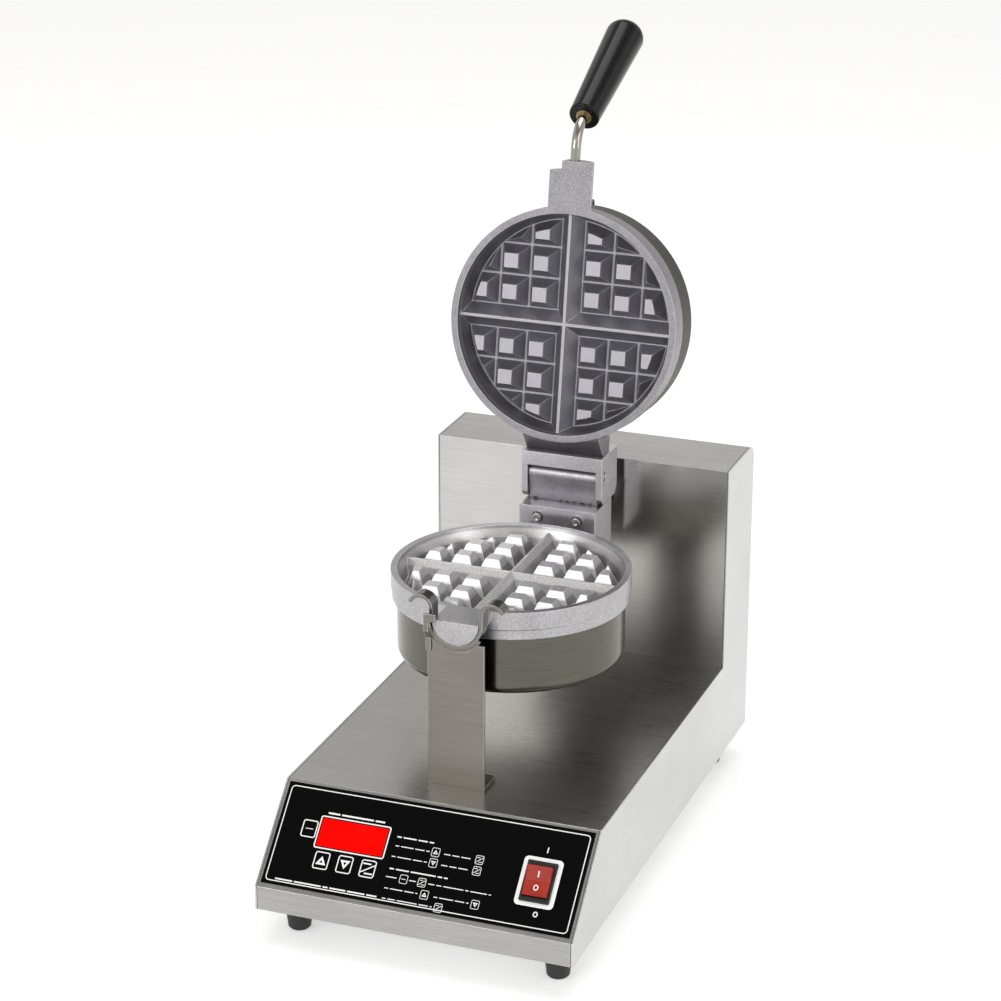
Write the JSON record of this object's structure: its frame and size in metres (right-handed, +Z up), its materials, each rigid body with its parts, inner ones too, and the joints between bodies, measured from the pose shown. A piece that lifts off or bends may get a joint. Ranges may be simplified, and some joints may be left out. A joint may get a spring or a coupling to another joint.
{
  "type": "rotary waffle maker",
  "caption": "Countertop rotary waffle maker: round hinged grid pair on a turning spindle, front saddle, sloped control panel.",
  "frame": {"origin": "on the supporting surface, under the middle of the machine's overall width and depth with the lid open", "axes": "+Z up, -Y towards the control panel's front, +X to the user's right"},
  "size_m": [0.254, 0.4876, 0.6233],
  "materials": {
    "housing_steel": "brushed stainless sheet, fine straight grain",
    "support_steel": "brushed stainless strip",
    "fastener_steel": "turned steel",
    "foot_rubber": "matt black rubber",
    "panel_black": "smooth black polyester and moulded black plastic",
    "window_red": "clear red tinted sheet",
    "rocker_red": "translucent red moulding",
    "case_plastic": "moulded dark plastic",
    "board_green": "green solder mask",
    "standoff_brass": "turned brass",
    "bearing_bronze": "sintered bronze",
    "cast_iron_grey": "grey casting",
    "cast_aluminium": "cast aluminium, fine sandy grain",
    "shell_steel": "spun satin steel",
    "heater_sheath": "heat-tinted sheath",
    "mineral_wool": "pressed mineral wool",
    "rod_chrome": "polished chrome",
    "grip_black": "polished black phenolic"
  },
  "bodies": {
    "base": {"bearing_housing": "cast_iron_grey", "bearing_screws": "fastener_steel", "board_standoffs": "standoff_brass", "bottom_pan": "housing_steel", "control_board": "board_green", "control_overlay": "panel_black", "cord_gland": "case_plastic", "cover_screws": "fastener_steel", "display_module": "case_plastic", "display_window": "window_red", "foot_front_left": "foot_rubber", "foot_front_right": "foot_rubber", "foot_rear_left": "foot_rubber", "foot_rear_right": "foot_rubber", "foot_screws": "fastener_steel", "front_skin": "housing_steel", "front_support": "support_steel", "high_limit_thermostat": "case_plastic", "keypad_board": "board_green", "left_side_panel": "housing_steel", "rear_cover": "housing_steel", "right_side_panel": "housing_steel", "rotation_stop": "support_steel", "saddle_strip": "support_steel", "solid_state_relay": "case_plastic", "spindle_bush": "bearing_bronze", "support_screws": "fastener_steel", "switch_body": "panel_black", "terminal_block": "case_plastic", "tower_skin": "housing_steel"},
    "carriage": {"spindle": "fastener_steel", "spindle_nut": "fastener_steel", "carriage_block": "cast_aluminium", "carriage_screws": "fastener_steel", "hinge_knuckle": "cast_aluminium", "hinge_pin": "fastener_steel", "lower_grid": "cast_aluminium", "lower_shell": "shell_steel", "lower_heater": "heater_sheath", "lower_insulation": "mineral_wool", "lower_sensor": "heater_sheath", "lower_shell_screw": "fastener_steel", "lower_grid_bolts": "fastener_steel"},
    "lid": {"upper_grid": "cast_aluminium", "upper_shell": "shell_steel", "upper_heater": "heater_sheath", "upper_insulation": "mineral_wool", "upper_shell_screw": "fastener_steel", "hinge_yoke": "cast_aluminium", "yoke_bolts": "fastener_steel", "handle_rod": "rod_chrome", "handle_insert": "standoff_brass", "handle_grip": "grip_black", "handle_set_screw": "standoff_brass"},
    "power_rocker": {"power_rocker": "rocker_red"},
    "temp_key": {"temp_key": "panel_black"},
    "up_key": {"up_key": "panel_black"},
    "down_key": {"down_key": "panel_black"},
    "start_key": {"start_key": "panel_black"}
  },
  "joints": [
    {"name": "carriage_turn", "type": "hinge", "parent": "base", "child": "carriage", "pos_m": [0, -0.03068, 0.24373], "axis": [0, 1, 0], "range_deg": [0, 90]},
    {"name": "lid_swing", "type": "hinge", "parent": "carriage", "child": "lid", "pos_m": [0, 0.09582, 0.27633], "axis": [1, 0, 0], "range_deg": [0, 98.94]},
    {"name": "power_rocker_tip", "type": "hinge", "parent": "base", "child": "power_rocker", "pos_m": [0.09, -0.21544, 0.07629], "axis": [-1, 0, 0], "range_deg": [0, 14]},
    {"name": "temp_key_press", "type": "slide", "parent": "base", "child": "temp_key", "axis": [0, 0.7009, -0.7133], "range_m": [0, 0.0004], "stiffness_N_per_m": 1500},
    {"name": "up_key_press", "type": "slide", "parent": "base", "child": "up_key", "axis": [0, 0.7009, -0.7133], "range_m": [0, 0.0004], "stiffness_N_per_m": 1500},
    {"name": "down_key_press", "type": "slide", "parent": "base", "child": "down_key", "axis": [0, 0.7009, -0.7133], "range_m": [0, 0.0004], "stiffness_N_per_m": 1500},
    {"name": "start_key_press", "type": "slide", "parent": "base", "child": "start_key", "axis": [0, 0.7009, -0.7133], "range_m": [0, 0.0004], "stiffness_N_per_m": 1500}
  ]
}
